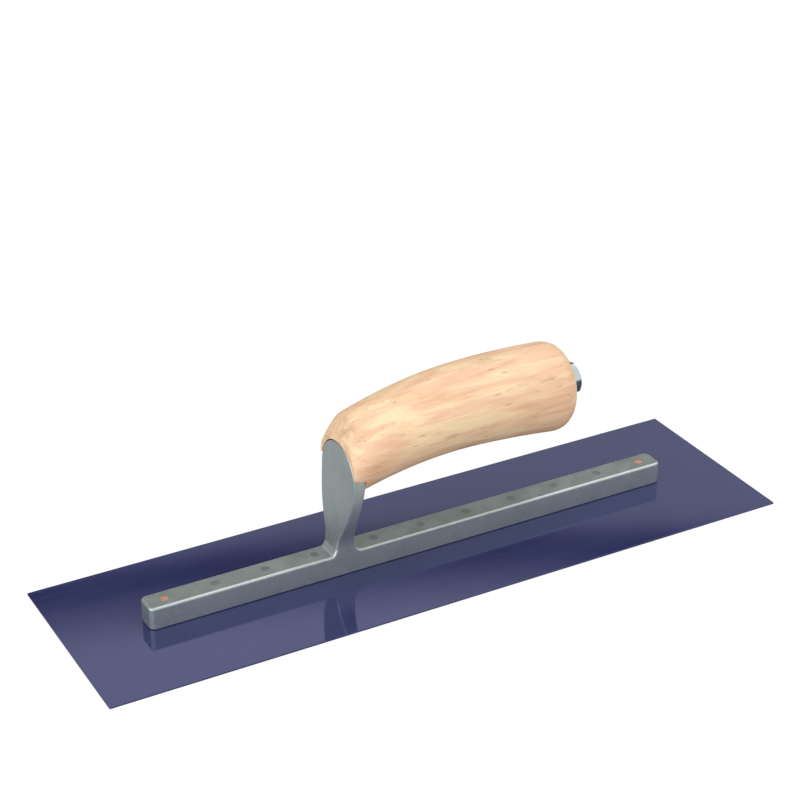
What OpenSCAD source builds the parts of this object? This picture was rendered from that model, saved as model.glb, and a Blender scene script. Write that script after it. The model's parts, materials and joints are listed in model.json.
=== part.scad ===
// Steel finishing trowel: a thin blade riveted under a cast bar, and a
// camel-back wooden handle drawn onto the bar's shank by one long hex bolt.
// Millimetres, Z up. The origin is the centre of the blade's underside.
// +X runs along the blade, towards the bolt end of the handle.

/* [Blade] */
// Blade length along X
blade_l = 355.6; // [300:0.1:460]
// Blade width along Y
blade_w = 101.6; // [75:0.1:130]
// Blade sheet thickness
blade_t = 0.8; // [0.6:0.05:1.5]

/* [Mounting bar] */
// Bare blade beyond each end of the bar
bar_inset = 38.1; // [20:0.1:50]
// Bar width along Y
bar_w = 12.7; // [11:0.1:16]
// Bar height above the blade
bar_h = 11.5; // [9:0.1:14]
// Rounding of the bar's upper edges
bar_top_r = 1.25; // [0.5:0.05:2.5]
// Rounding of the bar's lower edges
bar_foot_r = 1; // [0.5:0.05:2]
// Corner radius of the bar in plan
bar_corner_r = 3; // [2.6:0.1:4.5]

/* [Shank] */
// Shank position from the blade centre, towards the toe
shank_back = 38.1; // [20:0.1:50]
// Front face position ahead of the shank position, at the top of the bar
shank_lead = 7.7; // [6:0.1:9]
// Plate thickness along X
shank_t = 6.1; // [5:0.1:8]
// Backward lean of the lower plate in degrees
shank_lean = 7.1; // [4:0.1:9]
// Height where the leaning plate turns upright
bend_z = 50; // [46:0.5:52]
// Radius of the rounded head
head_r = 16; // [15:0.1:16.5]
// Height of the head's centre above the floor
head_z = 52.4; // [51:0.1:54]
// Radius of the bulging flanks under the head
flank_r = 58; // [50:1:70]
// Radius of the hollow curves above the bar
foot_r = 15; // [10:0.5:18]
// Fillet from the bar to the front face
front_fillet_r = 5; // [2:0.5:6]
// Fillet from the bar to the rear face
rear_fillet_r = 4; // [2:0.5:5]
// Height where the thicker rear web starts
web_z = 31; // [26:1:36]
// Extra thickness of the rear web at the bar
web_t = 5; // [3:0.5:6]
// Diameter of the threaded boss inside the handle
boss_d = 16; // [14:0.5:18]
// Length of the threaded boss behind the plate
boss_l = 20; // [12:1:26]
// Metal left between the threaded hole and the front face
blind_wall = 2.8; // [2:0.1:4]

/* [Rivets] */
// Rivet shank diameter
rivet_d = 4; // [3:0.1:5]
// Diameter of the flush foot under the blade
rivet_foot_d = 5.4; // [5.2:0.1:7]
// Depth of the countersunk foot
rivet_foot_h = 0.5; // [0.3:0.05:0.55]
// Distance between rivets
rivet_pitch = 25.4; // [20:0.1:40]
// Distance from each end of the bar to its first rivet
rivet_end = 9.525; // [6:0.025:14]
// Closest a rivet comes to the shank position
rivet_clear = 12; // [12:0.5:15]

/* [Handle] */
// Highest point of the handle's centreline, from the blade centre
hump_x = 27.5; // [15:0.5:35]
// Height of the centreline at its highest point
hump_z = 71.9; // [70:0.1:74]
// Bend radius of the centreline in front of the hump
front_bend_r = 195; // [180:5:260]
// Bend radius of the centreline behind the hump
rear_bend_r = 416; // [350:5:600]
// Half width of the handle at the front
front_half_w = 18.4; // [18:0.1:20]
// Half width of the handle at the rear
rear_half_w = 19.4; // [17:0.1:21]
// Half height of the handle at the front
front_half_h = 18.9; // [18.5:0.1:20]
// Half height of the handle at the rear
rear_half_h = 23.2; // [20:0.1:24]
// Length of the rounded rear end
dome_l = 15; // [10:0.1:18]
// Squareness of the rounded end, where 2 is an ellipse
dome_power = 2.7; // [2:0.1:4]
// Length of the tapered nose around the shank head
nose_l = 4.6; // [3:0.1:7]
// Thickness of wood beside the shank head at the tip of the nose
nose_side_rim = 1.3; // [1:0.1:3]
// Thickness of wood above the shank head at the tip of the nose
nose_top_rim = 1.6; // [1:0.1:3]
// Squareness of the nose's tip, where 2 is an ellipse
nose_power = 2.7; // [2:0.1:4]
// Underside of the wood lip over the shank head
lip_z = 54.5; // [52:0.1:58]

/* [Handle bolt] */
// Bolt shank diameter
bolt_d = 9.525; // [8:0.025:10]
// Thread pitch, the bolt's travel for one turn
bolt_pitch = 1.5875; // [1:0.0125:2]
// Width across the flats of the hex head
bolt_flats = 14.29; // [13:0.01:15]
// Height of the hex head
bolt_head_h = 5.95; // [5:0.05:7]
// Position of the head's seat from the blade centre
seat_x = 82.4; // [81:0.1:84]
// Height of the bolt axis at the seat
seat_z = 70.7; // [69.5:0.1:71.5]
// Rise of the bolt axis towards the rear in degrees
bolt_rise = 6.2; // [5.8:0.1:6.8]
// Turn of the hex head about its axis in degrees
hex_turn = 15; // [0:1:59]

/* [Hidden] */
// Radial gap of parts that turn or slide in one another
run_gap = 0.08;
// Radial gap of parts that are fixed together
fit_gap = 0.02;
// Overlap that makes cuts run past a face
past = 1;
// Space between the tip of the bolt and the end of its hole
tip_gap = 1;
// Width of the flat seat around the corners of the bolt's head
seat_rim = 0.75;
// How far the full dome would reach beyond the flat seat
dome_over_seat = 1.2;
// Half size of the blocks that cut away a whole side
far = 100;

// Facets of the true curves and of the handle's sections
$fn = 96;
section_points = 48;
body_sections = 22;
dome_sections = 9;

bar_l = blade_l - 2 * bar_inset;
bar_top_z = blade_t + bar_h;
bar_mid_z = blade_t + bar_h / 2;
shank_x = -shank_back;
face_x = shank_x - shank_lead;
lean_run = tan(shank_lean);
head_top_z = head_z + head_r;

// The shank's flank and foot circles touch, which fixes the foot's height
flank_y = flank_r - head_r;
foot_y = bar_w / 2 + foot_r;
touch_rise = sqrt(pow(flank_r + foot_r, 2) - pow(flank_y + foot_y, 2));
foot_z = head_z - touch_rise;
touch_z = foot_z + touch_rise * foot_r / (flank_r + foot_r);
touch_y = foot_y - (flank_y + foot_y) * foot_r / (flank_r + foot_r);

first_rivet = bar_l / 2 - rivet_end;
toe_count = floor((first_rivet + shank_x - rivet_clear) / rivet_pitch) + 1;
heel_count = floor((first_rivet - shank_x - rivet_clear) / rivet_pitch) + 1;

// Foot of the rear web on the bar, and its slope
web_foot_x = face_x + shank_t + web_t;
web_angle = atan2(web_z - bar_top_z, plate_front(web_z) + shank_t - web_foot_x);

plate_rear_x = plate_front(bend_z) + shank_t;
nose_x = plate_front(bend_z);
handle_end_x = seat_x + dome_over_seat;
dome_x = handle_end_x - dome_l;
// The last dome section against the full one, small enough to lie in the seat's cut
dome_tip = 0.25;
dome_turn_end = asin(pow(1 - pow(dome_tip, dome_power), 1 / dome_power));

// Distances along the bolt axis, measured forwards from the head's seat
axis_x = cos(bolt_rise);
plate_rear_s = (seat_x - plate_rear_x) / axis_x;
hole_end_s = plate_rear_s + (shank_t - blind_wall) / axis_x;
bolt_l = hole_end_s - tip_gap;
// The tip's chamfer is as deep as the thread
tip_chamfer = 0.61 * bolt_pitch;

// The head's corners are cut by a cone that starts just inside its flats
corner_d = bolt_flats / cos(30);
head_face_d = 0.95 * bolt_flats;
cone_d = corner_d + past;
cone_h = (cone_d - head_face_d) / 2 * tan(30);
seat_d = corner_d + 2 * seat_rim;

// Front face position at height z
function plate_front(z) = face_x + lean_run * (min(z, bend_z) - bar_top_z);

// Rivet positions along X, counted inwards from each end of the bar
function toe_rivet_x(i) = -first_rivet + i * rivet_pitch;
function heel_rivet_x(i) = first_rivet - i * rivet_pitch;

// Handle centreline height, half width and half height at position x
function bend_r(x) = x < hump_x ? front_bend_r : rear_bend_r;
function mid_z(x) = hump_z - pow(x - hump_x, 2) / (2 * bend_r(x));
function along(x) = (x - nose_x) / (handle_end_x - nose_x);
function half_w(x) = front_half_w + (rear_half_w - front_half_w) * along(x);
function half_h(x) = front_half_h + (rear_half_h - front_half_h) * along(x);

// Dome position and section size for a turn of 0 to dome_turn_end degrees
function dome_pos(turn) = dome_x + dome_l * sin(turn);
function dome_size(turn) = pow(1 - pow(sin(turn), dome_power), 1 / dome_power);

// One oval ring of points, scaled about the centreline
function ring(x, size) = [
  for (k = [0:section_points - 1])
    let (a = 360 * k / section_points)
      [x, size * half_w(x) * cos(a), mid_z(x) + size * half_h(x) * sin(a)]
];

// Slightly squared tip of the nose, centred on the shank's head
function squared(value) = sign(value) * pow(abs(value), 2 / nose_power);
nose_ring = [
  for (k = [0:section_points - 1])
    let (
      a = 360 * k / section_points,
      y = (head_r + nose_side_rim) * squared(cos(a)),
      z = (head_r + nose_top_rim) * squared(sin(a))
    )
      [nose_x, y, head_z + z]
];

body_x = nose_x + nose_l;
body_step = (dome_x - body_x) / body_sections;
rings = concat(
  [nose_ring],
  [for (i = [0:body_sections]) ring(body_x + i * body_step, 1)],
  [for (i = [1:dome_sections])
    let (turn = dome_turn_end * i / dome_sections)
      ring(dome_pos(turn), dome_size(turn))]
);

// Points a list of equal rings in turn, and closes the skin with two caps
module ring_skin(rings) {
  count = len(rings[0]);
  last = len(rings) - 1;
  sides = [
    for (i = [0:last - 1], k = [0:count - 1])
      let (a = i * count + k, b = i * count + (k + 1) % count)
        each [[a, b, a + count], [b, b + count, a + count]]
  ];
  front_cap = [for (k = [0:count - 1]) count - 1 - k];
  rear_cap = [for (k = [0:count - 1]) last * count + k];
  polyhedron([for (r = rings) each r], concat([front_cap], sides, [rear_cap]));
}

// Puts children on the bolt axis with their Z pointing out of the head
module on_bolt_axis(s = 0) {
  translate([seat_x, 0, seat_z])
    rotate([0, 90 - bolt_rise, 0])
      translate([0, 0, -s])
        children();
}

// Rounded rectangular prism standing on z = 0
module soft_prism(l, w, h, r) {
  cx = l / 2 - r;
  cy = w / 2 - r;
  for (sx = [-1, 1], sy = [-1, 1])
    translate([sx * cx, sy * cy, 0])
      cylinder(h = h, r = r);
  translate([-cx, -w / 2, 0])
    cube([2 * cx, w, h]);
  translate([-l / 2, -cy, 0])
    cube([l, 2 * cy, h]);
}

// The rounded rim of a soft_prism, centred on z = 0
module soft_rim(l, w, r, edge_r) {
  cx = l / 2 - r;
  cy = w / 2 - r;
  for (turn = [0, 180])
    rotate([0, 0, turn]) {
      translate([-cx, w / 2 - edge_r, 0])
        rotate([0, 90, 0])
          cylinder(h = 2 * cx, r = edge_r);
      translate([l / 2 - edge_r, cy, 0])
        rotate([90, 0, 0])
          cylinder(h = 2 * cy, r = edge_r);
      for (side = [0, 1])
        mirror([0, side, 0])
          translate([cx, cy, 0])
            rotate_extrude(angle = 90)
              translate([r - edge_r, 0])
                rim_half(edge_r);
    }
}

// The outer half of a rim's round section
module rim_half(edge_r) {
  intersection() {
    circle(r = edge_r);
    translate([0, -edge_r])
      square([edge_r, 2 * edge_r]);
  }
}

module bar_solid() {
  translate([0, 0, blade_t]) {
    translate([0, 0, bar_foot_r])
      soft_prism(bar_l, bar_w, bar_h - bar_foot_r - bar_top_r, bar_corner_r);
    soft_prism(bar_l - 2 * bar_foot_r, bar_w - 2 * bar_foot_r,
               bar_h / 2, bar_corner_r - bar_foot_r);
    translate([0, 0, bar_h / 2])
      soft_prism(bar_l - 2 * bar_top_r, bar_w - 2 * bar_top_r,
                 bar_h / 2, bar_corner_r - bar_top_r);
    translate([0, 0, bar_foot_r])
      soft_rim(bar_l, bar_w, bar_corner_r, bar_foot_r);
    translate([0, 0, bar_h - bar_top_r])
      soft_rim(bar_l, bar_w, bar_corner_r, bar_top_r);
  }
}

// Leaf shape of the shank seen from the front, in Y and Z
module leaf() {
  translate([0, head_z])
    circle(r = head_r);
  intersection() {
    flank_lens();
    translate([-head_r, foot_z])
      square([2 * head_r, head_z - foot_z]);
  }
  difference() {
    translate([-touch_y, foot_z])
      square([2 * touch_y, touch_z - foot_z]);
    for (side = [-1, 1])
      translate([side * foot_y, foot_z])
        circle(r = foot_r);
  }
  translate([-bar_w / 2, bar_mid_z])
    square([bar_w, touch_z - bar_mid_z]);
}

// The lens shape shared by the two flank circles
module flank_lens() {
  intersection() {
    translate([-flank_y, head_z])
      circle(r = flank_r);
    translate([flank_y, head_z])
      circle(r = flank_r);
  }
}

// Fills the corner between a level line and a line rising at a given angle,
// and runs a little way into the solid behind both lines
module corner_fillet(rise_angle, r) {
  reach = r / tan(rise_angle / 2);
  rise = [cos(rise_angle), sin(rise_angle)];
  inward = [-rise[1], rise[0]];
  difference() {
    polygon([
      [reach, r],
      [reach, 0],
      [reach, -past],
      [-past, -past],
      reach * rise + past * inward,
      reach * rise
    ]);
    translate([reach, r])
      circle(r = r);
  }
}

// Shank seen from the side, in X and Z
module shank_side() {
  polygon([
    [plate_front(bar_mid_z), bar_mid_z],
    [nose_x, bend_z],
    [nose_x, head_top_z + past],
    [plate_rear_x, head_top_z + past],
    [plate_rear_x, bend_z],
    [plate_front(web_z) + shank_t, web_z],
    [web_foot_x, bar_top_z],
    [web_foot_x, bar_mid_z]
  ]);
}

// Fillets from the flat top of the bar onto both faces of the shank
module shank_fillets() {
  rotate([90, 0, 0])
    linear_extrude(height = bar_w - 2 * bar_top_r, center = true) {
      translate([face_x, bar_top_z])
        mirror([1, 0])
          corner_fillet(90 + shank_lean, front_fillet_r);
      translate([web_foot_x, bar_top_z])
        corner_fillet(web_angle, rear_fillet_r);
    }
}

module shank_solid() {
  intersection() {
    translate([face_x - front_fillet_r, 0, 0])
      rotate([90, 0, 90])
        linear_extrude(height = far)
          leaf();
    rotate([90, 0, 0])
      linear_extrude(height = 3 * head_r, center = true)
        shank_side();
  }
  shank_fillets();
  on_bolt_axis(plate_rear_s + shank_t / 2)
    cylinder(h = boss_l + shank_t / 2, d = boss_d);
}

// Holes for the rivets through the bar and the blade
module rivet_holes() {
  for (i = [0:toe_count - 1])
    translate([toe_rivet_x(i), 0, 0])
      rivet_shape(fit_gap, past);
  for (i = [0:heel_count - 1])
    translate([heel_rivet_x(i), 0, 0])
      rivet_shape(fit_gap, past);
}

// One rivet, flush at both ends, or its hole when gap and extra are given
module rivet_shape(gap = 0, extra = 0) {
  translate([0, 0, -extra])
    cylinder(h = bar_top_z + 2 * extra, d = rivet_d + 2 * gap);
  cylinder(h = rivet_foot_h, d1 = rivet_foot_d + 2 * gap, d2 = rivet_d + 2 * gap);
  if (extra > 0)
    translate([0, 0, -extra])
      cylinder(h = extra, d = rivet_foot_d + 2 * gap);
}

module blade() {
  color("#41456b")
    difference() {
      translate([-blade_l / 2, -blade_w / 2, 0])
        cube([blade_l, blade_w, blade_t]);
      rivet_holes();
    }
}

module mounting() {
  color("#8d9290")
    difference() {
      union() {
        bar_solid();
        shank_solid();
      }
      rivet_holes();
      on_bolt_axis(hole_end_s)
        cylinder(h = boss_l + shank_t, d = bolt_d + 2 * run_gap);
    }
}

module toe_end_rivet() {
  color("#c88f76")
    translate([toe_rivet_x(0), 0, 0])
      rivet_shape();
}

module heel_end_rivet() {
  color("#c88f76")
    translate([heel_rivet_x(0), 0, 0])
      rivet_shape();
}

module toe_rivets() {
  color("#777d7b")
    for (i = [1:toe_count - 1])
      translate([toe_rivet_x(i), 0, 0])
        rivet_shape();
}

module heel_rivets() {
  color("#777d7b")
    for (i = [1:heel_count - 1])
      translate([heel_rivet_x(i), 0, 0])
        rivet_shape();
}

module handle() {
  color("#ecc896")
    difference() {
      ring_skin(rings);
      // Pocket that fits over the shank's rounded head
      translate([nose_x - past, 0, head_z])
        rotate([0, 90, 0])
          cylinder(h = shank_t + past + fit_gap, r = head_r + run_gap);
      // Opening under the lip where the shank passes out of the wood
      translate([nose_x - past, -far, lip_z - far])
        cube([shank_t + past + fit_gap, 2 * far, far]);
      // Counterbore for the boss
      on_bolt_axis(plate_rear_s + shank_t)
        cylinder(h = boss_l + shank_t + past, d = boss_d + 2 * run_gap);
      // Bore for the bolt, and the flat seat of its head
      on_bolt_axis(plate_rear_s)
        cylinder(h = plate_rear_s + past, d = bolt_d + 2 * run_gap);
      on_bolt_axis(fit_gap)
        cylinder(h = far, d = seat_d);
    }
}

module handle_bolt() {
  color("#a9b4b5")
    on_bolt_axis() {
      intersection() {
        rotate([0, 0, hex_turn])
          cylinder(h = bolt_head_h, d = corner_d, $fn = 6);
        union() {
          cylinder(h = bolt_head_h - cone_h, d = cone_d);
          translate([0, 0, bolt_head_h - cone_h])
            cylinder(h = cone_h, d1 = cone_d, d2 = head_face_d);
        }
      }
      translate([0, 0, tip_chamfer - bolt_l])
        cylinder(h = bolt_l - tip_chamfer + past, d = bolt_d);
      translate([0, 0, -bolt_l])
        cylinder(h = tip_chamfer, d1 = bolt_d - 2 * tip_chamfer, d2 = bolt_d);
    }
}

blade();
mounting();
toe_end_rivet();
heel_end_rivet();
toe_rivets();
heel_rivets();
handle();
handle_bolt();
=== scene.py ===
"""Steel finishing trowel: detailed meshes and materials around the CAD frame.

The mesh code works in millimetres in the CAD frame: the origin is the centre
of the blade's underside, +X runs towards the bolt end and +Z is up.
"""

import json
import math

import bmesh
import bpy
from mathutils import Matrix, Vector


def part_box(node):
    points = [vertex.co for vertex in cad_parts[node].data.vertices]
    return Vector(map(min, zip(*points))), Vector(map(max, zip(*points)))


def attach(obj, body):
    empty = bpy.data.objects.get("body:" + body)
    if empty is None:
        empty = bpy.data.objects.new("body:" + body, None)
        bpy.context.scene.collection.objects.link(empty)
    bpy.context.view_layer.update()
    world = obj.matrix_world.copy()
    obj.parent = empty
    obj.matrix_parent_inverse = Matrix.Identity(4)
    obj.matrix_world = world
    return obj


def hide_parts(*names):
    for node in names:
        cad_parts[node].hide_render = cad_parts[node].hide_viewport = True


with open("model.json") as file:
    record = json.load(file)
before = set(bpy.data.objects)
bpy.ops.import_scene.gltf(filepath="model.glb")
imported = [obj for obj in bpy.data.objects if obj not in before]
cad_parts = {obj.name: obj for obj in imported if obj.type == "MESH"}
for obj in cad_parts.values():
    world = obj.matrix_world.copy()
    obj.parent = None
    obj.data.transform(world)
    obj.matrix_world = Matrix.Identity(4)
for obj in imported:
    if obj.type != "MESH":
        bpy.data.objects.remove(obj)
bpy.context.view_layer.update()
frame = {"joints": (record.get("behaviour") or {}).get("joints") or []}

MM = 0.001


def box_mm(node):
    """Lowest and highest corner of a CAD node, in millimetres."""
    low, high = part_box(node)
    return low / MM, high / MM


def tan_deg(angle):
    """Tangent of an angle in degrees."""
    return math.tan(math.radians(angle))


# ---------------------------------------------------------------- sizes
#
# Lengths are in millimetres and angles in degrees. Names that end in _R are
# radii, _L lengths, _H heights, _T thicknesses, _W widths, and _X and _Z places.

BLADE_LOW, BLADE_HIGH = box_mm("blade")
MOUNT_LOW, MOUNT_HIGH = box_mm("mounting")
RIVET_LOW, RIVET_HIGH = box_mm("toe_end_rivet")

BLADE_SIZE = BLADE_HIGH - BLADE_LOW
BLADE_EDGE_R = 0.15
BLADE_CORNER_R = 0.5

# Bar of the casting
BAR_W = 12.7
BAR_SIZE = Vector((MOUNT_HIGH.x - MOUNT_LOW.x, BAR_W, 0))
BAR_FLOOR = BLADE_HIGH.z
BAR_TOP = RIVET_HIGH.z
BAR_TOP_R = 1.25
BAR_FOOT_R = 0.7
BAR_CORNER_R = 3.0

# Shank of the casting, with its round head, and the boss behind it
HEAD_R = MOUNT_HIGH.y
HEAD_Z = MOUNT_HIGH.z - HEAD_R
HEAD_EDGE_R = 0.45
PLATE_X = box_mm("handle")[0].x
PLATE_T = 6.1
LEAN = 7.1
BEND_Z = 50
BEND_EASE = 6
WEB_Z = 31
WEB_T = 5
WEB_EASE = 4
FRONT_FOOT_R = 2.2
FRONT_FACET = 66
CREASE_Z = 15.2
REAR_FILLET_R = 4
FLANK_R = 58
FOOT_R = 15
BOSS_R = 8
BOSS_L = 20
BOSS_EASE = 0.6

# Rivets, whose domes rise above the bar's top
RIVET_R = 2
RIVET_PITCH = 25.4
RIVET_EASE = 0.12
RIVET_FOOT_H = 0.5
RIVET_FOOT_R = (RIVET_HIGH.y - RIVET_LOW.y) / 2
COPPER_DOME_H = 0.12
PLAIN_DOME_H = 0.02
HOLE_GAP = 0.02

# Bolt and its joint
TURN = next(joint for joint in frame["joints"] if joint["name"] == "bolt_turn")
SEAT = Vector(TURN["pos_m"]) / MM
AXIS = Vector(TURN["axis"]).normalized()
BOLT_R = 9.525 / 2
BOLT_PITCH = 1.5875
BOLT_L = 120.4
THREAD_L = 32
THREAD_DEPTH = 0.61 * BOLT_PITCH
HEAD_FLATS = 14.29
HEAD_H = 5.95
HEAD_FACE_R = 0.95 * HEAD_FLATS / 2
HEAD_CHAMFER = 30
HEAD_FOOT_EASE = 0.3
HEX_TURN = 15
RUN_GAP = 0.08

# Handle: its curved body, its domed end, and its nose over the shank's head
HUMP_X = 27.5
HUMP_Z = 71.9
FRONT_BEND_R = 195
REAR_BEND_R = 416
FRONT_HALF_W = 18.4
REAR_HALF_W = 19.4
FRONT_HALF_H = 18.9
REAR_HALF_H = 23.2
HANDLE_END = 83.6
DOME_L = 15
DOME_POWER = 2.7
DOME_TURN = 72
NOSE_L = 4.6
NOSE_SIDE_RIM = 1.3
NOSE_TOP_RIM = 1.6
NOSE_POWER = 2.7
LIP_FRONT_Z = 56.3
LIP_REAR_Z = 53.9
NOTCH_DEPTH = 0.9
NOTCH_H = 4
RIDGE_EASE = 0.3
SIDE_EASE = 4.4
POCKET_GAP = 0.4
WOOD_GAP = 0.02
WOOD_EASE = 0.35
COUNTER_R = BOSS_R + RUN_GAP
COUNTER_GAP = 1
SEAT_MARGIN = 0.75
SEAT_R = HEAD_FLATS / 2 / math.cos(math.radians(30)) + SEAT_MARGIN

# How finely round and long stretches are divided
LATHE_SIDES = 48
RIVET_SIDES = 40
CORNER_STEPS = 5
EDGE_STEPS = 4
FOOT_STEPS = 7
FACET_STEPS = 2
SHANK_COLUMNS = 6
SHANK_SIDES = 8
THREAD_STEPS = 8
UPPER, LOWER = 64, 32

# How far a cutter reaches past what it cuts
OVERCUT = 1


# ---------------------------------------------------------------- mesh tools


def lerp(a, b, share):
    """The value a share of the way from a to b."""
    return a + (b - a) * share


def steps(start, end, count):
    """count + 1 even steps from start to end."""
    return [lerp(start, end, i / count) for i in range(count + 1)]


class Skin:
    """A surface made of grids of points, whose shared points are merged."""

    def __init__(self):
        self.places = {}
        self.faces = []

    def number(self, point):
        """The number of a place, new or already known."""
        key = tuple(round(value, 4) for value in point)
        return self.places.setdefault(key, len(self.places))

    def face(self, points):
        """Adds a face, unless its points fall together."""
        corners = list(dict.fromkeys(self.number(p) for p in points))
        if len(corners) > 2:
            self.faces.append(corners)

    def grid(self, rows, closed=False, skip=None):
        """Joins each row of points to the next with quads."""
        for low, high in zip(rows, rows[1:]):
            for i in range(len(low) if closed else len(low) - 1):
                j = (i + 1) % len(low)
                if skip is None or not skip(low[i], low[j]):
                    self.face([low[i], low[j], high[j], high[i]])

    def build(self, name):
        """The finished object, with its normals pointing out."""
        mesh = bpy.data.meshes.new(name)
        mesh.from_pydata([Vector(place) * MM for place in self.places], [], self.faces)
        work = bmesh.new()
        work.from_mesh(mesh)
        bmesh.ops.recalc_face_normals(work, faces=work.faces)
        work.to_mesh(mesh)
        work.free()
        made = bpy.data.objects.new(name, mesh)
        bpy.context.scene.collection.objects.link(made)
        return made


def apply_modifiers(piece):
    """Makes the piece's modifiers part of its mesh."""
    graph = bpy.context.evaluated_depsgraph_get()
    mesh = bpy.data.meshes.new_from_object(piece.evaluated_get(graph))
    piece.modifiers.clear()
    old = piece.data
    piece.data = mesh
    bpy.data.meshes.remove(old)


def combine(piece, tool, operation):
    """Cuts the tool out of the piece or adds it, and removes the tool."""
    cut = piece.modifiers.new("combine", "BOOLEAN")
    cut.operation = operation
    cut.solver = "EXACT"
    cut.object = tool
    bpy.context.view_layer.update()
    apply_modifiers(piece)
    bpy.data.objects.remove(tool)


def ease_edges(piece, width, angle=30):
    """Rounds the edges that are sharper than the angle."""
    bevel = piece.modifiers.new("ease", "BEVEL")
    bevel.width = width * MM
    bevel.segments = 3
    bevel.limit_method = "ANGLE"
    bevel.angle_limit = math.radians(angle)
    bevel.use_clamp_overlap = False
    apply_modifiers(piece)


def smooth(piece, angle=35):
    """Shades the piece smooth, with flat faces flat and sharp edges sharp."""
    work = bmesh.new()
    work.from_mesh(piece.data)
    for face in work.faces:
        face.smooth = True
    for edge in work.edges:
        edge.smooth = edge.calc_face_angle(math.pi) < math.radians(angle)
    work.to_mesh(piece.data)
    work.free()
    weighted = piece.modifiers.new("weighted", "WEIGHTED_NORMAL")
    weighted.keep_sharp = True
    apply_modifiers(piece)


def upright(x):
    """A placing function for lathes that stand upright on the middle line at x."""
    return lambda point: Vector((x, 0, 0)) + point


def on_bolt(point):
    """Places a point whose Z runs out of the bolt's head along its axis."""
    across = Vector((0, 1, 0))
    down = across.cross(AXIS)
    return SEAT + point.x * down + point.y * across + point.z * AXIS


def lathe(skin, profile, place, count=LATHE_SIDES):
    """Turns a profile of (radius, height) points about a placed axis."""
    angles = [2 * math.pi * i / count for i in range(count)]
    rows = [
        [place(Vector((r * math.cos(a), r * math.sin(a), z))) for a in angles]
        for r, z in profile
    ]
    skin.grid(rows, closed=True)
    for row in (rows[0], rows[-1]):
        skin.face(row)


# ---------------------------------------------------------------- slabs


def slab_end(size, corner_r, inset, columns):
    """Outline of a slab's heel end, from the near corner to the far one."""
    half = size / 2
    centre = Vector((half.x - corner_r, half.y - corner_r))
    radius = corner_r - inset
    arc = [
        Vector((math.cos(a), math.sin(a))) * radius
        for a in steps(-math.pi / 2, 0, CORNER_STEPS)
    ]
    near = [Vector((centre.x, -centre.y)) + p for p in arc]
    middle = [Vector((centre.x + radius, y)) for y in steps(-centre.y, centre.y, columns)]
    far = [Vector((p.x, -p.y)) for p in reversed(near)]
    return near[1:] + middle[1:-1] + far[:-1]


def slab_ring(size, corner_r, inset, z, stations, columns):
    """Closed outline of a slab at height z, counted from its near toe end."""
    y = size.y / 2 - inset
    heel = slab_end(size, corner_r, inset, columns)
    near = [Vector((x, -y)) for x in stations]
    far = [Vector((x, y)) for x in reversed(stations)]
    toe = [-p for p in heel]
    return [Vector((p.x, p.y, z)) for p in near + heel + far + toe]


def slab_cap(skin, size, corner_r, inset, z, stations, columns, skip=None):
    """Closes the top or the underside of a slab."""
    y = size.y / 2 - inset
    rows = [[Vector((x, c, z)) for c in steps(-y, y, columns)] for x in stations]
    for low, high in zip(rows, rows[1:]):
        if skip is None or not skip(low[0], high[0]):
            skin.grid([low, high])
    heel = [Vector((p.x, p.y, z)) for p in slab_end(size, corner_r, inset, columns)]
    toe = [Vector((-p.x, -p.y, z)) for p in heel]
    skin.face(rows[-1] + heel[::-1])
    skin.face(rows[0] + toe)


def slab(skin, size, floor, top, radii, stations, columns, skip=None):
    """A flat bar with rounded edges. Radii are the corner, foot and top ones."""
    corner_r, foot_r, top_r = radii
    turn = steps(0, math.pi / 2, EDGE_STEPS)

    def ring(inset, z):
        return slab_ring(size, corner_r, inset, z, stations, columns)

    def rounding(radius, z, side):
        return [
            ring(radius * (1 - math.sin(a)), z + side * radius * (1 - math.cos(a)))
            for a in turn
        ]

    foot = rounding(foot_r, floor, 1)
    head = rounding(top_r, top, -1)
    skin.grid(foot + [head[-1]], closed=True)
    skin.grid(head[::-1], closed=True, skip=skip)
    slab_cap(skin, size, corner_r, foot_r, floor, stations, columns)
    slab_cap(skin, size, corner_r, top_r, top, stations, columns, skip)


# ---------------------------------------------------------------- mounting


def eased_ramp(distance, ease):
    """max(distance, 0) with its corner rounded over the ease distance."""
    if abs(distance) < ease:
        return (distance + ease) ** 2 / (4 * ease)
    return max(distance, 0)


def plate_front(z):
    """X of the shank's front face at height z."""
    return PLATE_X - tan_deg(LEAN) * eased_ramp(BEND_Z - z, BEND_EASE)


def plate_rear(z):
    """X of the shank's rear face at height z, with the web at its foot."""
    web = WEB_T / (WEB_Z - BAR_TOP) * eased_ramp(WEB_Z - z, WEB_EASE)
    return plate_front(z) + PLATE_T + web


def plate_rear_turn():
    """How far the web's rear face leans forwards, in degrees."""
    rise = WEB_Z - BAR_TOP
    return math.degrees(math.atan(WEB_T / rise - tan_deg(LEAN)))


def rear_foot():
    """Points and inward directions from the bar's top onto the web's rear face."""
    lean = plate_rear_turn()
    reach = REAR_FILLET_R / tan_deg((90 + lean) / 2)
    centre = Vector((plate_rear(BAR_TOP) + reach, BAR_TOP + REAR_FILLET_R))
    turns = steps(-math.pi / 2, -math.radians(lean), FOOT_STEPS)
    inward = [Vector((-math.cos(a), math.sin(a))) for a in turns]
    return [(centre + REAR_FILLET_R * n, n) for n in inward]


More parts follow.
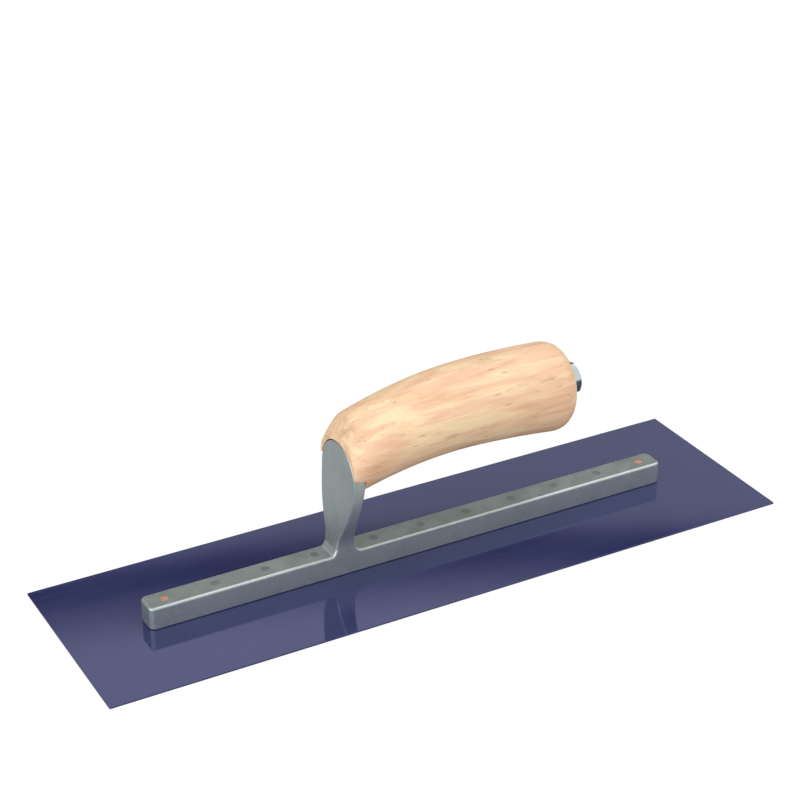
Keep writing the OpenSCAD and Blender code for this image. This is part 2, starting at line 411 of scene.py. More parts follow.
def front_foot():
    """Points and inward directions of the front's small fillet and its facet.

    The facet ends in a crease where it meets the shank's front face.
    """
    turn = math.radians(FRONT_FACET - 90)
    inward = Vector((math.cos(turn), math.sin(turn)))
    crease = Vector((plate_front(CREASE_Z), CREASE_Z))
    arc_top = BAR_TOP + FRONT_FOOT_R * (1 + math.sin(turn))
    arc_end = crease - Vector((-inward.y, inward.x)) * (CREASE_Z - arc_top) / inward.x
    centre = arc_end - FRONT_FOOT_R * inward
    turns = steps(-math.pi / 2, turn, FOOT_STEPS - FACET_STEPS)
    arc = [Vector((math.cos(a), math.sin(a))) for a in turns]
    foot = [(centre + FRONT_FOOT_R * n, n) for n in arc]
    return foot + [(arc_end.lerp(crease, s), inward) for s in steps(0, 1, FACET_STEPS)[1:]]


def face_point(face, side, z):
    """A point and inward direction on a shank face at height z."""
    reach = 0.01
    slope = (face(z + reach) - face(z - reach)) / (2 * reach)
    return Vector((face(z), z)), side * Vector((1, -slope)).normalized()


def leaf_point(z):
    """Half width of the shank at height z, and its outward direction."""
    flank_y = FLANK_R - HEAD_R
    foot_y = BAR_SIZE.y / 2 + FOOT_R
    rise = math.sqrt((FLANK_R + FOOT_R) ** 2 - (flank_y + foot_y) ** 2)
    foot_z = HEAD_Z - rise
    touch_z = foot_z + rise * FOOT_R / (FLANK_R + FOOT_R)
    if z <= foot_z:
        return Vector((BAR_SIZE.y / 2, z)), Vector((1, 0))
    if z <= touch_z:
        half = foot_y - math.sqrt(FOOT_R**2 - (z - foot_z) ** 2)
        return Vector((half, z)), Vector((foot_y - half, foot_z - z)) / FOOT_R
    half = math.sqrt(FLANK_R**2 - (z - HEAD_Z) ** 2) - flank_y
    return Vector((half, z)), Vector((half + flank_y, z - HEAD_Z)) / FLANK_R


def head_point(angle):
    """A point of the round head's outline, and its outward direction."""
    outward = Vector((math.cos(angle), math.sin(angle)))
    return Vector((0, HEAD_Z)) + HEAD_R * outward, outward


def edge_arc(x, inward, outline, outward, radius):
    """Rounding from a shank face to its side, on the far half."""
    start = outline - radius * outward
    points = []
    for a in steps(0, math.pi / 2, EDGE_STEPS):
        out = start + radius * math.sin(a) * outward
        depth = radius * (1 - math.cos(a)) * inward
        points.append(Vector((x + depth.x, out.x, out.y + depth.y)))
    return points


def shank_ring(front, rear):
    """Closed ring of one level, from the edge arcs of its two faces."""

    def mirrored(points):
        return [Vector((p.x, -p.y, p.z)) for p in points]

    half = front + [front[-1].lerp(rear[-1], s) for s in steps(0, 1, SHANK_SIDES)[1:-1]]
    half += rear[::-1]
    other = mirrored(half)[::-1]
    front_strip = [other[-1].lerp(half[0], s) for s in steps(0, 1, SHANK_COLUMNS)]
    rear_strip = [half[-1].lerp(other[0], s) for s in steps(0, 1, SHANK_COLUMNS)]
    return front_strip + half[1:] + rear_strip[1:] + other[1:-1]


def shank_levels():
    """Front and rear edge arcs of every level from the bar to the head's top."""
    levels = []
    for pair in zip(front_foot(), rear_foot()):
        arcs = [
            edge_arc(point.x, inward, *leaf_point(point.y), BAR_TOP_R)
            for point, inward in pair
        ]
        levels.append(arcs)
    above_crease = 0.15
    leaf_steps, head_steps = 20, 12
    base = CREASE_Z + above_crease
    outlines = [leaf_point(z) for z in steps(base, HEAD_Z, leaf_steps)]
    outlines += [head_point(a) for a in steps(0, math.pi / 2, head_steps)[1:]]
    for outline, outward in outlines:
        share = min(1, (outline.y - base) / (HEAD_Z - base))
        radius = lerp(BAR_TOP_R, HEAD_EDGE_R, share)
        z = outline.y - radius * outward.y
        arcs = []
        for face, side in ((plate_front, 1), (plate_rear, -1)):
            point, inward = face_point(face, side, z)
            arcs.append(edge_arc(point.x, inward, outline, outward, radius))
        levels.append(arcs)
    return levels


def mounting_body():
    """The bar and the shank as one closed skin."""
    toe_steps, heel_steps = 12, 22
    levels = shank_levels()
    foot_x = levels[0][0][0].x
    heel_x = levels[0][1][0].x
    end_x = BAR_SIZE.x / 2 - BAR_CORNER_R
    stations = steps(-end_x, foot_x, toe_steps)
    stations += steps(foot_x, heel_x, SHANK_SIDES)[1:]
    stations += steps(heel_x, end_x, heel_steps)[1:]

    def under_shank(a, b):
        return foot_x < (a.x + b.x) / 2 < heel_x

    skin = Skin()
    radii = (BAR_CORNER_R, BAR_FOOT_R, BAR_TOP_R)
    slab(skin, BAR_SIZE, BAR_FLOOR, BAR_TOP, radii, stations, SHANK_COLUMNS, under_shank)
    rings = [shank_ring(front, rear) for front, rear in levels]
    skin.grid(rings, closed=True)
    return skin.build("mounting_casting")


def boss_piece():
    """The round boss behind the plate, started inside the plate."""
    plate_s = (SEAT.x - PLATE_X - PLATE_T) / AXIS.x
    end = BOSS_L - plate_s
    profile = [
        (BOSS_R, -plate_s - PLATE_T / 2),
        (BOSS_R, end - BOSS_EASE),
        (BOSS_R - BOSS_EASE, end),
    ]
    boss = Skin()
    lathe(boss, profile, on_bolt)
    return boss.build("boss")


def bolt_hole():
    """Cutter for the bolt's blind hole in the boss and the plate."""
    hole = Skin()
    radius = BOLT_R + RUN_GAP
    lathe(hole, [(radius, -BOLT_L - OVERCUT), (radius, 0)], on_bolt)
    return hole.build("bolt_hole")


def mounting_piece():
    """The cast bar and shank with its boss, holes and rounded edges."""
    piece = mounting_body()
    combine(piece, boss_piece(), "UNION")
    combine(piece, bolt_hole(), "DIFFERENCE")
    combine(piece, rivet_holes(), "DIFFERENCE")
    return piece


# ---------------------------------------------------------------- rivets and blade


def rivet_places(end_node, row_node, direction):
    """X of every rivet of one row, from the end of the bar inwards."""
    low, high = box_mm(end_node)
    row_low, row_high = box_mm(row_node)
    first = (low.x + high.x) / 2
    count = round((row_high.x - row_low.x - 2 * RIVET_FOOT_R) / RIVET_PITCH) + 1
    return [first + direction * i * RIVET_PITCH for i in range(count + 1)]


TOE_PLACES = rivet_places("toe_end_rivet", "toe_rivets", 1)
HEEL_PLACES = rivet_places("heel_end_rivet", "heel_rivets", -1)


def rivet_holes():
    """Cutter for all the rivets' holes."""
    holes = Skin()
    foot_r, hole_r = RIVET_FOOT_R + HOLE_GAP, RIVET_R + HOLE_GAP
    profile = [
        (foot_r, -OVERCUT),
        (foot_r, 0),
        (hole_r, RIVET_FOOT_H),
        (hole_r, BAR_TOP + OVERCUT),
    ]
    for x in TOE_PLACES + HEEL_PLACES:
        lathe(holes, profile, upright(x), RIVET_SIDES)
    return holes.build("rivet_holes")


def rivet_piece(name, places, dome_h):
    """Countersunk rivets with eased, slightly domed upset ends."""
    dome_steps = 5
    rim = RIVET_R - RIVET_EASE
    profile = [
        (RIVET_FOOT_R - RIVET_EASE, 0),
        (RIVET_FOOT_R, RIVET_EASE / 2),
        (RIVET_R, RIVET_FOOT_H),
        (RIVET_R, BAR_TOP - RIVET_EASE),
        (RIVET_R - RIVET_EASE / 3, BAR_TOP - RIVET_EASE / 3),
        (rim, BAR_TOP),
    ]
    for s in steps(0, 1, dome_steps)[1:-1]:
        profile.append((rim * (1 - s), BAR_TOP + dome_h * s * (2 - s)))
    skin = Skin()
    for x in places:
        lathe(skin, profile, upright(x), RIVET_SIDES)
    return skin.build(name)


def blade_piece():
    """The thin blade with finely rounded edges and countersunk holes."""
    rows, columns = 28, 8
    end_x = BLADE_SIZE.x / 2 - BLADE_CORNER_R
    stations = steps(-end_x, end_x, rows)
    radii = (BLADE_CORNER_R, BLADE_EDGE_R, BLADE_EDGE_R)
    skin = Skin()
    slab(skin, BLADE_SIZE, 0, BLADE_SIZE.z, radii, stations, columns)
    piece = skin.build("blade_sheet")
    combine(piece, rivet_holes(), "DIFFERENCE")
    return piece


# ---------------------------------------------------------------- bolt


def hex_angles():
    """Angles round the head, with a narrow flat in place of each corner."""
    side_end = 28.8
    return [
        math.radians(HEX_TURN + 30 + 60 * side + a)
        for side in range(6)
        for a in (-side_end, -20, -10, 0, 10, 20, side_end)
    ]


def hex_radius(angle):
    """Distance from the bolt's axis to the head's side at an angle."""
    off_corner = (math.degrees(angle) - HEX_TURN) % 60
    return HEAD_FLATS / 2 / math.cos(math.radians(off_corner - 30))


def thread_radius(angle, z):
    """Radius of the threaded end at an angle and at height z, negative below the head.

    Crest and root are flat, the thread runs out over two turns, and the tip
    has a chamfer as deep as the thread.
    """
    flank_slope, crest = 1.6, 0.25
    tip = BOLT_L + z
    share = (z / BOLT_PITCH - angle / (2 * math.pi)) % 1
    groove = min(1, max(0, flank_slope * (1 - abs(2 * share - 1)) - crest))
    runout = min(1, max(0, (THREAD_L - tip) / (2 * BOLT_PITCH)))
    chamfer = BOLT_R - THREAD_DEPTH + tip
    return min(BOLT_R - THREAD_DEPTH * groove * runout, chamfer)


def bolt_piece():
    """The long hex bolt, threaded at its tip."""
    angles = hex_angles()
    slope = tan_deg(HEAD_CHAMFER)
    thread_rows = THREAD_STEPS * round(THREAD_L / BOLT_PITCH)
    plain_rows = (-60, -40, -20, 0)

    def ring(radius, height):
        points = []
        for a in angles:
            r, z = radius(a), height(a)
            points.append(on_bolt(Vector((r * math.cos(a), r * math.sin(a), z))))
        return points

    def cone_height(angle):
        return HEAD_H - (hex_radius(angle) - HEAD_FACE_R) * slope

    skin = Skin()
    rings = [
        ring(lambda a: thread_radius(a, z), lambda a: z)
        for z in steps(-BOLT_L, THREAD_L - BOLT_L, thread_rows)
    ]
    rings += [ring(lambda a: BOLT_R, lambda a: z) for z in plain_rows]
    rings.append(ring(lambda a: hex_radius(a) - HEAD_FOOT_EASE, lambda a: 0))
    rings.append(ring(hex_radius, lambda a: HEAD_FOOT_EASE))
    rings.append(ring(hex_radius, cone_height))
    rings.append(ring(lambda a: HEAD_FACE_R, lambda a: HEAD_H))
    skin.grid(rings, closed=True)
    skin.face(rings[0])
    skin.face(rings[-1])
    return skin.build("handle_bolt_hex")


# ---------------------------------------------------------------- handle

PLATE_REAR = PLATE_X + PLATE_T + WOOD_GAP
BODY_X = PLATE_X + NOSE_L
DOME_X = HANDLE_END - DOME_L


def mid_z(x):
    """Height of the handle's curved centreline."""
    bend_r = FRONT_BEND_R if x < HUMP_X else REAR_BEND_R
    return HUMP_Z - (x - HUMP_X) ** 2 / (2 * bend_r)


def half_size(x):
    """Half width and half height of the handle."""
    share = (x - PLATE_X) / (HANDLE_END - PLATE_X)
    return lerp(FRONT_HALF_W, REAR_HALF_W, share), lerp(FRONT_HALF_H, REAR_HALF_H, share)


def oval_point(x, angle, size=1):
    """A point of the handle's oval section."""
    half_w, half_h = half_size(x)
    y = size * half_w * math.cos(angle)
    return Vector((x, y, mid_z(x) + size * half_h * math.sin(angle)))


def squared(value, power):
    """A cosine or sine that draws a squared oval of the given power."""
    return math.copysign(abs(value) ** (2 / power), value)


def lip_angles(x, centre_z, half_h, power=2):
    """Where a section crosses the underside of the lip, to the right and left."""
    share = min(1, (x - PLATE_X) / (PLATE_REAR - PLATE_X))
    lip_z = lerp(LIP_FRONT_Z, LIP_REAR_Z, share)
    low = math.asin(squared((lip_z - centre_z) / half_h, 4 / power))
    return low, math.pi - low


def ridged_point(x, share):
    """A point of the nose above the lip, with share 0 and 1 at the lip."""
    if x >= BODY_X:
        section_x = min(x, PLATE_REAR)
        low, high = lip_angles(x, mid_z(section_x), half_size(section_x)[1])
        return oval_point(x, lerp(low, high, share))
    blend = (x - PLATE_X) / NOSE_L
    half_w, half_h = half_size(BODY_X)
    centre_z = lerp(HEAD_Z, mid_z(BODY_X), blend)
    wide = lerp(HEAD_R + NOSE_SIDE_RIM, half_w, blend)
    tall = lerp(HEAD_R + NOSE_TOP_RIM, half_h, blend)
    power = lerp(NOSE_POWER, 2, blend)
    angle = lerp(*lip_angles(x, centre_z, tall, power), share)
    y = wide * squared(math.cos(angle), power)
    return Vector((x, y, centre_z + tall * squared(math.sin(angle), power)))


def nose_point(x, share):
    """The same, with its ridge crisp on top and eased away at the sides.

    Crisp and fading are shares of the way round from the top.
    """
    crisp, fading = 0.08, 0.16
    beside_top = min(1, max(0, (abs(share - 0.5) - crisp) / fading))
    ease = lerp(RIDGE_EASE, SIDE_EASE, beside_top)
    s = ((x - BODY_X) / ease + 1) / 2
    if not 0 < s < 1:
        return ridged_point(x, share)
    before, ridge, after = (ridged_point(BODY_X + d, share) for d in (-ease, 0, ease))
    return before.lerp(ridge, s).lerp(ridge.lerp(after, s), s)


def pocket_point(x, share):
    """A point of the pocket that fits over the shank's head."""
    radius = HEAD_R + POCKET_GAP
    angle = lerp(*lip_angles(x, HEAD_Z, radius), share)
    return Vector((x, radius * math.cos(angle), HEAD_Z + radius * math.sin(angle)))


def notched(point):
    """Opens a small gap behind the plate at the lip's rear corners."""
    below = LIP_REAR_Z - point.z
    tolerance = 0.01
    if abs(point.y) < HEAD_R or not -tolerance < below < NOTCH_H:
        return point
    return point + Vector((NOTCH_DEPTH * (1 - below / NOTCH_H), 0, 0))


def body_angles():
    """Angles of the body's points, with the lip's two corners among them."""
    low, high = lip_angles(PLATE_REAR, mid_z(PLATE_REAR), half_size(PLATE_REAR)[1])
    return steps(low, high, UPPER), steps(high, low + 2 * math.pi, LOWER)


def dome_point(y, z):
    """The point of the domed end that has the given y and z."""
    rounds = 6
    x = HANDLE_END
    for _ in range(rounds):
        half_w, half_h = half_size(x)
        size = math.hypot(y / half_w, (z - mid_z(x)) / half_h)
        x = DOME_X + DOME_L * (1 - size**DOME_POWER) ** (1 / DOME_POWER)
    return Vector((x, y, z))


def bore_point(radius, angle, s):
    """A point round the bolt's axis, s millimetres in front of the seat."""
    up = Vector((-AXIS.z, 0, AXIS.x))
    across = Vector((0, 1, 0))
    return SEAT - s * AXIS + radius * (math.cos(angle) * across + math.sin(angle) * up)


def bore_point_at_x(radius, angle, x):
    """The same, where that line round the axis crosses the plane at x."""
    start = bore_point(radius, angle, 0)
    return start + AXIS * ((x - start.x) / AXIS.x)


def nose_skin(skin):
    """Outside, rim and pocket of the nose, and the undersides of its lip."""
    nose_steps, ridge_steps = 4, 6
    shares = steps(0, 1, UPPER)
    stations = steps(PLATE_X, BODY_X - RIDGE_EASE, nose_steps)[:-1]
    stations += [BODY_X + d for d in steps(-RIDGE_EASE, RIDGE_EASE, ridge_steps)]
    stations.append(PLATE_REAR)
    outside = [[nose_point(x, s) for s in shares] for x in stations]
    outside[-1] = [notched(p) for p in outside[-1]]
    pocket = [[pocket_point(x, s) for s in shares] for x in stations]
    skin.grid(outside)
    skin.grid(pocket)
    skin.grid([outside[0], pocket[0]])
    for end in (0, -1):
        skin.grid([[row[end] for row in outside], [row[end] for row in pocket]])


def body_rings(lower):
    """Rings of the body, from the rear of the plate to the start of the dome."""
    eased_steps, body_steps = 4, 46
    nose_end = BODY_X + SIDE_EASE
    stations = steps(PLATE_REAR, nose_end, eased_steps)
    stations += steps(nose_end, DOME_X, body_steps)[1:]
    shares = steps(0, 1, UPPER)
    rings = []
    for x in stations:
        above = [nose_point(x, share) for share in shares]
        rings.append(above + [oval_point(x, a) for a in lower[1:-1]])
    rings[0] = [notched(p) for p in rings[0]]
    return rings


def dome_rings(ring_angles):
    """Rings of the domed end, closing in on the edge of the flat seat."""
    dome_steps, closing_steps = 12, 5
    rings = []
    for turn in steps(0, math.radians(DOME_TURN), dome_steps)[1:]:
        x = DOME_X + DOME_L * math.sin(turn)
        size = (1 - math.sin(turn) ** DOME_POWER) ** (1 / DOME_POWER)
        rings.append([oval_point(x, a, size) for a in ring_angles])
    last = rings[-1]
    seat_edge = [bore_point(SEAT_R, a, 0) for a in ring_angles]
    for share in steps(0, 1, closing_steps)[1:]:
        row = []
        for outer, inner in zip(last, seat_edge):
            flat = outer.lerp(inner, share)
            row.append(dome_point(flat.y, flat.z))
        rings.append(row)
    return rings


def inside_rings(ring_angles):
    """Rings of the seat, the bore and the counterbore, back to the front face."""
    bore_steps = 6
    plate_s = (SEAT.x - PLATE_REAR) / AXIS.x
    floor_s = plate_s - BOSS_L - COUNTER_GAP
    bore_r = BOLT_R + RUN_GAP
    rings = [[bore_point(r, a, 0) for a in ring_angles] for r in (SEAT_R, bore_r)]
    for s in steps(0, floor_s, bore_steps)[1:]:
        rings.append([bore_point(bore_r, a, s) for a in ring_angles])
    rings.append([bore_point(COUNTER_R, a, floor_s) for a in ring_angles])
    for share in (0.5, 1):
        x = lerp(SEAT.x - floor_s, PLATE_REAR, share)
        rings.append([bore_point_at_x(COUNTER_R, a, x) for a in ring_angles])
    return rings


def front_rows(first_ring, upper, lower):
    """Front face, from the pocket above and the outside below to the counterbore."""
    shares = steps(0, 1, 3)
    edge = [pocket_point(PLATE_REAR, s) for s in steps(0, 1, UPPER)]
    edge += first_ring[UPPER:] + first_ring[:1]
    centre = [bore_point_at_x(COUNTER_R, a, PLATE_REAR) for a in upper + lower]
    return [[a.lerp(b, share) for a, b in zip(edge, centre)] for share in shares]


def handle_piece():
    """The wooden handle with its pocket, counterbore, bore and bolt seat."""
    upper, lower = body_angles()
    ring_angles = upper + lower[1:-1]
    rings = body_rings(lower) + dome_rings(ring_angles)
    skin = Skin()
    nose_skin(skin)
    skin.grid(rings, closed=True)
    skin.grid(rings[-1:] + inside_rings(ring_angles), closed=True)
    skin.grid(front_rows(rings[0], upper, lower), closed=True)
    piece = skin.build("handle_wood")
    ease_edges(piece, WOOD_EASE)
    return piece


# ---------------------------------------------------------------- material tools


def colour(red, green, blue):
    """Linear colour of an ordinary 0-255 screen colour."""

    def linear(value):
        share = value / 255
        if share <= 0.04045:
            return share / 12.92
        return ((share + 0.055) / 1.055) ** 2.4

    return (linear(red), linear(green), linear(blue), 1)


def grey(value):
    """A plain linear grey."""
    return (value, value, value, 1)


class Nodes:
    """Short calls that add nodes to one node tree."""

    def __init__(self, tree):
        self.tree = tree

    def add(self, kind, inputs=(), **settings):
        """A new node with its settings made and its inputs fed."""
        node = self.tree.nodes.new(kind)
        for key, value in settings.items():
            setattr(node, key, value)
        for key, value in dict(inputs).items():
            self.feed(node.inputs[key], value)
        return node

    def feed(self, socket, value):
        """Links another node's output to a socket, or sets the socket's value."""
        if isinstance(value, bpy.types.NodeSocket):
            self.tree.links.new(value, socket)
        else:
            socket.default_value = value

    def noise(self, vector, scale, detail=4, distortion=0.0):
        """Noise from 0 to 1."""
        inputs = {"Vector": vector, "Scale": scale, "Detail": detail, "Distortion": distortion}
        return self.add("ShaderNodeTexNoise", inputs).outputs["Fac"]

    def ramp(self, value, *stops):
        """Colours or greys at places from 0 to 1, blended between them."""
        node = self.add("ShaderNodeValToRGB", {"Fac": value})
        elements = node.color_ramp.elements
        while len(elements) < len(stops):
            elements.new(0.5)
        for element, (position, tone) in zip(elements, stops):
            element.position = position
            element.color = tone if isinstance(tone, tuple) else grey(tone)
        return node.outputs["Color"]

    def math(self, operation, a, b=0.0):
        """The result of one operation on two values."""
        return self.add("ShaderNodeMath", {0: a, 1: b}, operation=operation).outputs[0]

    def mix(self, share, a, b):
        """The colour a share of the way from a to b.

        A mix node numbers its sockets for colours 6 and 7, and its colour output 2.
        """
        node = self.add("ShaderNodeMix", data_type="RGBA")
        for key, value in (("Factor", share), (6, a), (7, b)):
            self.feed(node.inputs[key], value)
        return node.outputs[2]

    def camera_ray(self):
        """1 where the camera looks straight at the surface, 0 elsewhere."""
        return self.add("ShaderNodeLightPath").outputs["Is Camera Ray"]


class Paint(Nodes):
    """One node material, with its object coordinates in millimetres."""

    def __init__(self, name):
        self.material = bpy.data.materials.new(name)
        self.material.use_nodes = True
        super().__init__(self.material.node_tree)
        self.shader = self.tree.nodes["Principled BSDF"]
        place = self.add("ShaderNodeTexCoord").outputs["Object"]
        self.place = self.stretched(place, (1 / MM, 1 / MM, 1 / MM))

    def set(self, **inputs):
        """Feeds the shader's inputs, named with _ for each space."""
        for key, value in inputs.items():
            self.feed(self.shader.inputs[key.replace("_", " ")], value)

    def stretched(self, vector, scale):
        """A place scaled by its own amount along each axis."""
        inputs = {"Vector": vector, "Scale": scale}
        return self.add("ShaderNodeMapping", inputs).outputs["Vector"]

    def facing_up(self):
        """How far the surface faces up: 1 for a level top, 0 for a wall."""
        normal = self.add("ShaderNodeNewGeometry").outputs["Normal"]
        return self.add("ShaderNodeSeparateXYZ", {"Vector": normal}).outputs["Z"]

    def bump(self, height, strength, distance):
        """Small relief, with its distance in millimetres."""
        inputs = {"Height": height, "Strength": strength, "Distance": distance * MM}
        return self.add("ShaderNodeBump", inputs).outputs["Normal"]


# ---------------------------------------------------------------- materials


def blued_steel():
    """Blue-tempered spring steel with faint lengthwise streaks."""
    paint = Paint("blued_steel")
    streaks = paint.noise(paint.stretched(paint.place, (0.02, 1, 1)), 0.5, 5)
    cloud = paint.noise(paint.place, 0.03, 3)
    grain = paint.noise(paint.place, 1.2, 4)
    deep = paint.ramp(cloud, (0.3, colour(35, 39, 77)), (0.7, colour(40, 44, 85)))
    drawn = paint.ramp(streaks, (0.3, colour(34, 38, 76)), (0.7, colour(42, 46, 88)))
    paint.set(Base_Color=paint.mix(0.3, deep, drawn))
    paint.set(Roughness=paint.ramp(streaks, (0.3, 0.04), (0.7, 0.06)))
    paint.set(IOR=1.55, Specular_Tint=(0.9, 0.9, 1.6, 1))
    paint.set(Normal=paint.bump(grain, 0.02, 0.01))
    return paint.material


def cast_aluminium():
    """Tumbled cast aluminium."""
    paint = Paint("cast_aluminium")
    cloud = paint.noise(paint.place, 0.1, 4, 0.4)
    patch = paint.noise(paint.place, 0.6, 3)
    grit = paint.noise(paint.place, 5, 3)
    tone = paint.ramp(cloud, (0.3, colour(165, 175, 174)), (0.7, colour(179, 188, 187)))
    worn = paint.ramp(patch, (0.35, colour(161, 170, 168)), (0.65, colour(183, 192, 191)))
    tone = paint.mix(0.3, tone, worn)

    # Painted shade: faces that look straight up, such as the bar's flat top, get a darker
    # colour than the rest
    painted_top_shade = paint.ramp(cloud, (0.34, colour(145, 153, 149)), (0.66, colour(160, 168, 166)))
    flat_top = paint.ramp(paint.facing_up(), (0.96, 0), (0.995, 1))
    paint.set(Base_Color=paint.mix(flat_top, tone, painted_top_shade), Metallic=0.85)
    paint.set(Roughness=paint.ramp(patch, (0.3, 0.4), (0.7, 0.46)))
    paint.set(Normal=paint.bump(grit, 0.1, 0.04))
    return paint.material


def copper_rivet():
    """Ground copper, slightly uneven."""
    paint = Paint("copper_rivet")
    cloud = paint.noise(paint.place, 0.8, 4)
    tone = paint.ramp(cloud, (0.3, colour(228, 164, 138)), (0.7, colour(248, 196, 170)))
    paint.set(Base_Color=tone, Metallic=1.0)
    paint.set(Roughness=paint.ramp(cloud, (0.3, 0.3), (0.7, 0.45)))
    paint.set(Normal=paint.bump(paint.noise(paint.place, 4, 3), 0.15, 0.04))
    return paint.material


def plain_rivet():
    """Ground rivet metal, darker than the bar around it."""
    paint = Paint("plain_rivet")
    cloud = paint.noise(paint.place, 0.9, 4)
    tone = paint.ramp(cloud, (0.3, colour(132, 140, 136)), (0.7, colour(150, 157, 154)))
    paint.set(Base_Color=tone, Metallic=1.0)
    paint.set(Roughness=paint.ramp(cloud, (0.3, 0.42), (0.7, 0.55)))
    paint.set(Normal=paint.bump(paint.noise(paint.place, 4, 3), 0.15, 0.04))
    return paint.material


def zinc_plated():
    """Bright zinc plating."""
    paint = Paint("zinc_plated_steel")
    cloud = paint.noise(paint.place, 0.35, 4)
    tone = paint.ramp(cloud, (0.3, colour(178, 187, 189)), (0.7, colour(190, 198, 200)))
    paint.set(Base_Color=tone, Metallic=1.0)
    paint.set(Roughness=paint.ramp(cloud, (0.3, 0.14), (0.7, 0.2)))
    paint.set(Normal=paint.bump(paint.noise(paint.place, 3, 3), 0.08, 0.03))
    return paint.material


def hardwood():
    """Pale hardwood with bands, fibres, soft stains and short flecks."""
    paint = Paint("hardwood")
    bands = paint.noise(paint.stretched(paint.place, (0.16, 1, 1)), 0.19, 4, 0.6)
    fibre = paint.noise(paint.stretched(paint.place, (0.04, 1, 1)), 1.6, 5)
    tone = paint.ramp(
        bands,
        (0.34, colour(208, 163, 129)),
        (0.44, colour(220, 178, 144)),
        (0.54, colour(225, 190, 153)),
        (0.66, colour(230, 205, 164)),
    )
    fine = paint.ramp(fibre, (0.35, colour(206, 165, 131)), (0.62, colour(230, 201, 166)))
    tone = paint.mix(0.22, tone, fine)
    stain = paint.noise(paint.stretched(paint.place, (0.3, 1, 1)), 0.2, 3)
    tone = paint.mix(paint.ramp(stain, (0.64, 0), (0.76, 0.5)), tone, colour(170, 142, 108))

    # Short dark flecks, each inside its own long cell
    cells = paint.add(
        "ShaderNodeTexVoronoi",
        {"Vector": paint.stretched(paint.place, (0.13, 1, 1)), "Scale": 0.5},
    )
    chosen = paint.math("GREATER_THAN", cells.outputs["Color"], 0.5)
    near = paint.ramp(cells.outputs["Distance"], (0.06, 1), (0.18, 0))
    fleck = paint.math("MULTIPLY", near, chosen)
    tone = paint.mix(paint.math("MULTIPLY", fleck, 0.75), tone, colour(160, 112, 74))
    paint.set(Base_Color=tone)
    paint.set(Roughness=paint.ramp(fibre, (0.3, 0.5), (0.7, 0.62)))
    height = paint.math("SUBTRACT", fibre, paint.math("MULTIPLY", fleck, 1.5))
    paint.set(Normal=paint.bump(height, 0.2, 0.05))
    return paint.material


# ---------------------------------------------------------------- assembly


def install(piece, body, node, slot, material):
    """Gives a finished piece its shading, material and body, and hides the CAD node it
    replaces.
    """
    smooth(piece)
    piece.data.materials.clear()
    piece.data.materials.append(material)
    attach(piece, body)
    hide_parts(node)


def build_trowel():
    """Makes all eight pieces."""
    base = "blade_and_mounting"
    copper = copper_rivet()
    plain = plain_rivet()
    install(blade_piece(), base, "blade", "blued_steel", blued_steel())
    install(mounting_piece(), base, "mounting", "cast_aluminium", cast_aluminium())
    rows = [
        ("toe_end_rivet", TOE_PLACES[:1], COPPER_DOME_H, "copper_rivet", copper),
        ("heel_end_rivet", HEEL_PLACES[:1], COPPER_DOME_H, "copper_rivet", copper),
        ("toe_rivets", TOE_PLACES[1:], PLAIN_DOME_H, "plain_rivet", plain),
        ("heel_rivets", HEEL_PLACES[1:], PLAIN_DOME_H, "plain_rivet", plain),
    ]
    for node, places, dome_h, slot, material in rows:
        piece = rivet_piece(node + "_turned", places, dome_h)
        install(piece, base, node, slot, material)
    install(handle_piece(), "handle", "handle", "hardwood", hardwood())
    install(bolt_piece(), "handle_bolt", "handle_bolt", "zinc_plated_steel", zinc_plated())


# ---------------------------------------------------------------- studio
#
# Lengths are in metres here.

FLOOR_HALF = 6
FLOOR_DROP = 0.00002
AIM = Vector((0, 0, 0.04))

CAMERA_PLACE = (-0.41423, -0.72310, 0.51721)
CAMERA_AZIMUTH = math.radians(-28.86)
CAMERA_ELEVATION = math.radians(27.67)
CAMERA_LENS = 91.32
CAMERA_SHIFT = 0.0177


def make_floor():
    """A pale floor that the camera sees as plain white."""
    paint = Paint("pale_floor")
    seen = paint.camera_ray()
    paint.set(Base_Color=paint.mix(seen, grey(0.47), grey(0)), Roughness=0.9)
    paint.set(Emission_Color=grey(1), Emission_Strength=seen)
    square = ((-1, -1), (1, -1), (1, 1), (-1, 1))
    corners = [(x * FLOOR_HALF, y * FLOOR_HALF, -FLOOR_DROP) for x, y in square]
    mesh = bpy.data.meshes.new("floor")
    mesh.from_pydata(corners, [], [(0, 1, 2, 3)])
    mesh.materials.append(paint.material)
    floor = bpy.data.objects.new("floor", mesh)
    bpy.context.scene.collection.objects.link(floor)


def area_light(name, direction, distance, size, power):
    """A soft rectangular light that faces the object from a direction."""
    data = bpy.data.lights.new(name, "AREA")
    data.shape = "RECTANGLE"
    data.size, data.size_y = size
    data.energy = power
    light = bpy.data.objects.new(name, data)
    bpy.context.scene.collection.objects.link(light)
    away = Vector(direction).normalized()
    light.location = AIM + away * distance
    light.rotation_mode = "QUATERNION"
    light.rotation_quaternion = away.to_track_quat("Z", "Y")


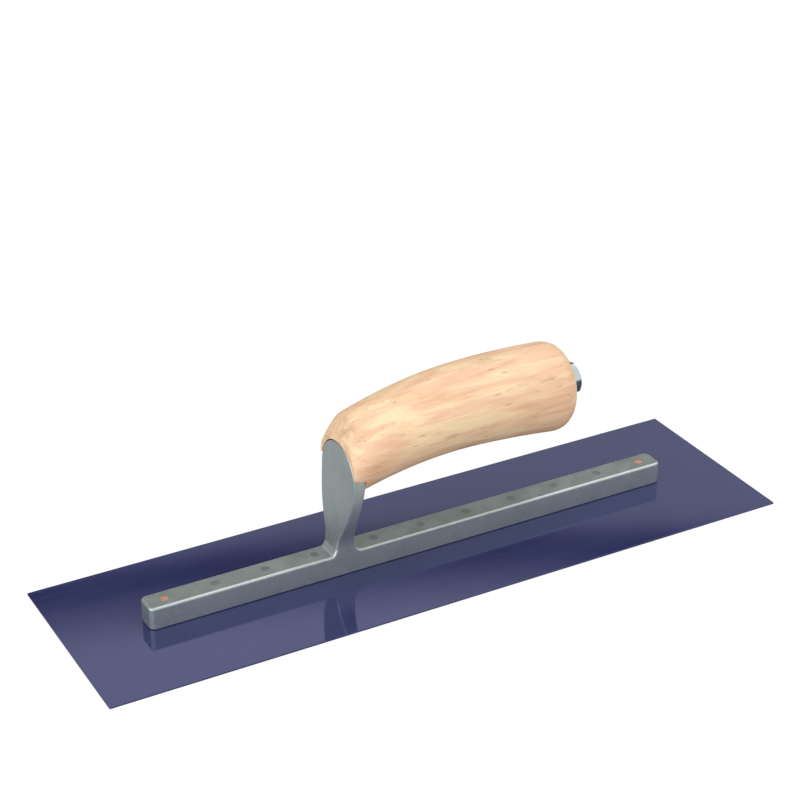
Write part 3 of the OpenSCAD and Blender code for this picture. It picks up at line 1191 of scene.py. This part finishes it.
def make_world():
    """A pale studio with a dim gap between its back panels.

    The back panels' ramp runs over the sine of the elevation, slightly tilted
    towards the heel end.
    """
    world = bpy.data.worlds.new("studio")
    world.use_nodes = True
    bpy.context.scene.world = world
    nodes = Nodes(world.node_tree)
    direction = nodes.add("ShaderNodeTexCoord").outputs["Generated"]
    parts = nodes.add("ShaderNodeSeparateXYZ", {"Vector": direction}).outputs
    tilt = nodes.math("MULTIPLY", parts["X"], 0.06)
    height = nodes.math("ADD", nodes.math("ADD", parts["Z"], tilt), -0.024)
    near_the_floor = ((0, 0.15), (0.36, 0.2))
    low_panel = ((0.46, 0.6), (0.517, 0.68))
    dim_gap = ((0.527, 0.03), (0.534, 0.03))
    high_panel = ((0.556, 1.0), (0.6, 1.0))
    overhead = ((0.64, 0.25), (0.85, 0.3), (1, 0.7))
    behind = nodes.ramp(height, *near_the_floor, *low_panel, *dim_gap, *high_panel, *overhead)
    in_front = nodes.ramp(parts["Y"], (0, 1), (0.3, 0))
    sky = nodes.mix(in_front, behind, grey(0.95))
    seen = nodes.mix(nodes.camera_ray(), sky, grey(1))
    background = world.node_tree.nodes["Background"]
    nodes.feed(background.inputs["Color"], seen)
    background.inputs["Strength"].default_value = 1.2


def make_lights():
    """A key light overhead and a fill light from the toe end."""
    area_light("key_light", (0.43, -0.1, 0.89), distance=2.2, size=(0.7, 2.0), power=14)
    area_light("fill_light", (-0.9, -0.35, 0.34), distance=2.2, size=(2.6, 1.4), power=25)


def make_camera():
    """A long lens that looks down at the near toe corner."""
    level = math.cos(CAMERA_ELEVATION)
    back = Vector(
        (
            math.sin(CAMERA_AZIMUTH) * level,
            -math.cos(CAMERA_AZIMUTH) * level,
            math.sin(CAMERA_ELEVATION),
        )
    )
    data = bpy.data.cameras.new("camera")
    data.lens = CAMERA_LENS
    data.shift_x = CAMERA_SHIFT
    camera = bpy.data.objects.new("camera", data)
    camera.location = CAMERA_PLACE
    camera.rotation_mode = "QUATERNION"
    camera.rotation_quaternion = (-back).to_track_quat("-Z", "Y")
    bpy.context.scene.collection.objects.link(camera)
    bpy.context.scene.camera = camera
    bpy.context.scene.view_settings.view_transform = "Standard"


build_trowel()
make_floor()
make_world()
make_lights()
make_camera()
